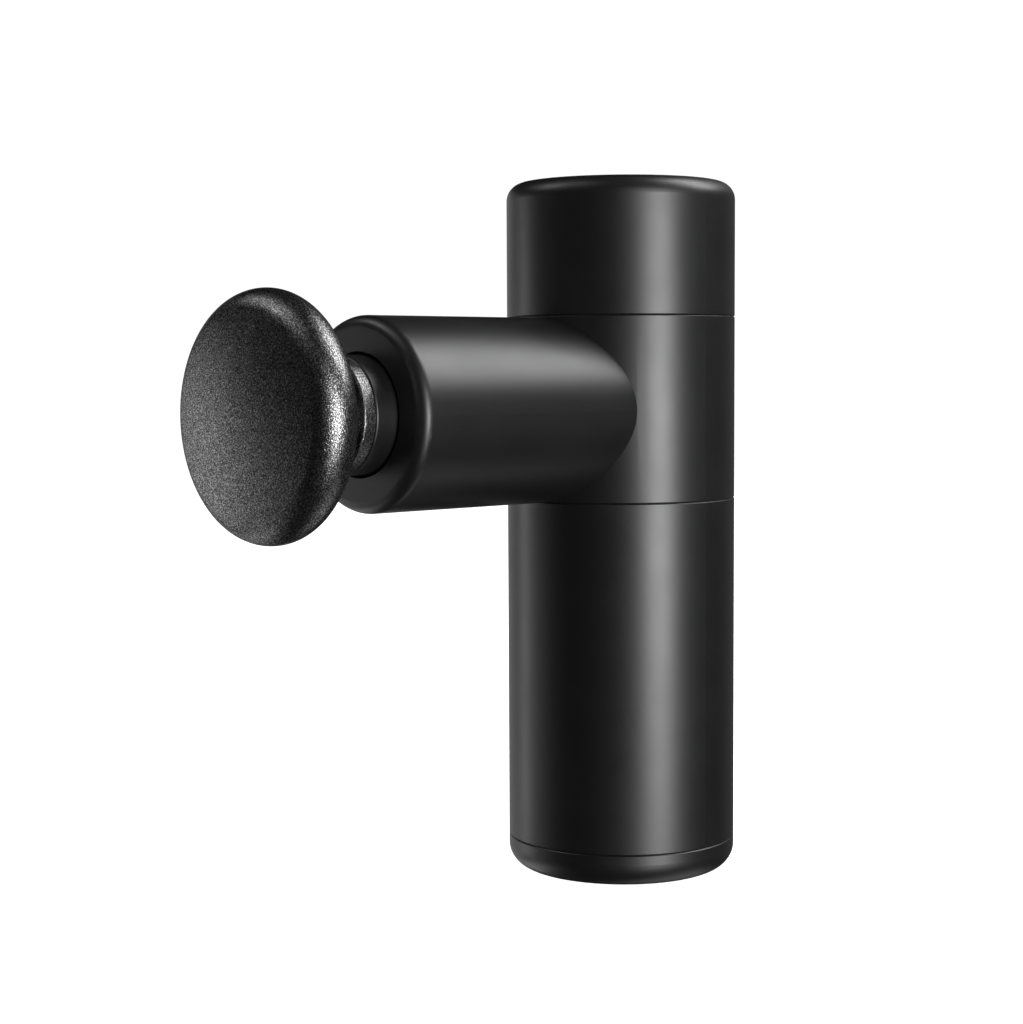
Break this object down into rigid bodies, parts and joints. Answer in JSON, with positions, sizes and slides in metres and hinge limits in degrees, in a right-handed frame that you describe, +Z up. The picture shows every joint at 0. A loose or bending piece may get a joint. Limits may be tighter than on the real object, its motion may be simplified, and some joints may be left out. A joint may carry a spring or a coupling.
{
  "type": "massage gun",
  "caption": "Pocket percussion massage gun: cylindrical handle with a short side barrel, a sliding plunger and a round pull-off mushroom head.",
  "frame": {"origin": "centre of the flat face under the base cap, which the gun stands on", "axes": "+Z up the handle, the barrel and head along -Y, X sideways; the button, lights and charging port face +Y"},
  "size_m": [0.046, 0.1193, 0.1388],
  "materials": {
    "body_metal": "black satin anodised",
    "cap_plastic": "black satin",
    "plunger_black": "black hard anodised",
    "head_rubber": "black, fine pebbled grain",
    "stem_plastic": "black, fine pebbled grain",
    "seal_rubber": "black, matt",
    "guide_plastic": "dark grey moulded",
    "bush_bronze": "sintered bronze",
    "screw_steel": "zinc plated",
    "bright_steel": "ground",
    "rod_alloy": "machined",
    "crank_steel": "blackened",
    "weight_brass": "machined brass",
    "magnet": "nickel plated",
    "copper_wire": "enamelled copper",
    "lead_red": "insulated wire",
    "holder_plastic": "natural moulded",
    "cell_wrap": null,
    "nickel": "nickel strip",
    "board_green": "solder mask",
    "chip_black": "moulded",
    "cap_sleeve": "printed sleeve, left blank",
    "ribbon_white": "flat flexible cable",
    "led_white": "diffusing",
    "light_window": "frosted clear",
    "button_plastic": "black gloss"
  },
  "bodies": {
    "housing": {"top_cap": "cap_plastic", "main_housing": "body_metal", "handle_tube": "body_metal", "base_cap": "cap_plastic", "base_screws": "screw_steel", "guide_carrier": "guide_plastic", "carrier_screws": "screw_steel", "guide_bush": "bush_bronze", "dust_seal": "seal_rubber", "motor_base": "rod_alloy", "motor_bearings": "bright_steel", "stator_core": "crank_steel", "stator_coils": "copper_wire", "motor_leads": "lead_red", "motor_bracket": "bright_steel", "motor_screws": "screw_steel", "bracket_screws": "screw_steel", "damping_ring": "seal_rubber", "battery_holder": "holder_plastic", "battery_cells": "cell_wrap", "cell_links": "nickel", "battery_leads": "lead_red", "driver_board": "board_green", "driver_chips": "chip_black", "capacitors": "cap_sleeve", "motor_plug": "holder_plastic", "control_board": "board_green", "control_chips": "chip_black", "ribbon_cable": "ribbon_white", "board_screws": "screw_steel", "tactile_switch": "guide_plastic", "status_leds": "led_white", "light_guide": "light_window", "charge_socket": "nickel", "port_bezel": "button_plastic"},
    "crank": {"crank_disc": "crank_steel", "crank_set_screw": "screw_steel", "counterweight": "weight_brass", "counterweight_screws": "screw_steel", "motor_shaft": "bright_steel", "rotor_can": "crank_steel", "rotor_magnets": "magnet"},
    "plunger_unit": {"plunger": "plunger_black", "wrist_pin": "bright_steel"},
    "rod": {"connecting_rod": "rod_alloy", "rod_bearing": "bright_steel", "rod_bush": "bush_bronze", "crank_pin": "bright_steel"},
    "head": {"head_stem": "stem_plastic", "head_pad": "head_rubber", "head_o_rings": "seal_rubber"},
    "button": {"power_button": "button_plastic"}
  },
  "joints": [
    {"name": "crank_spin", "type": "hinge", "parent": "housing", "child": "crank", "pos_m": [0, 0, 0.09345], "axis": [0, 0, 1], "continuous": true},
    {"name": "plunger_stroke", "type": "slide", "parent": "housing", "child": "plunger_unit", "axis": [0, -1, 0], "range_m": [-0.00335, 0.00365]},
    {"name": "rod_swing", "type": "hinge", "parent": "plunger_unit", "child": "rod", "pos_m": [0, -0.03985, 0.09345], "axis": [0, 0, 1], "range_deg": [0, 10.04]},
    {"name": "head_pull", "type": "slide", "parent": "plunger_unit", "child": "head", "axis": [0, -1, 0], "range_m": [0, 0.03]},
    {"name": "power_button_press", "type": "slide", "parent": "housing", "child": "button", "axis": [0, -1, 0], "range_m": [0, 0.0005], "stiffness_N_per_m": 2000, "springref_m": -0.0005}
  ]
}
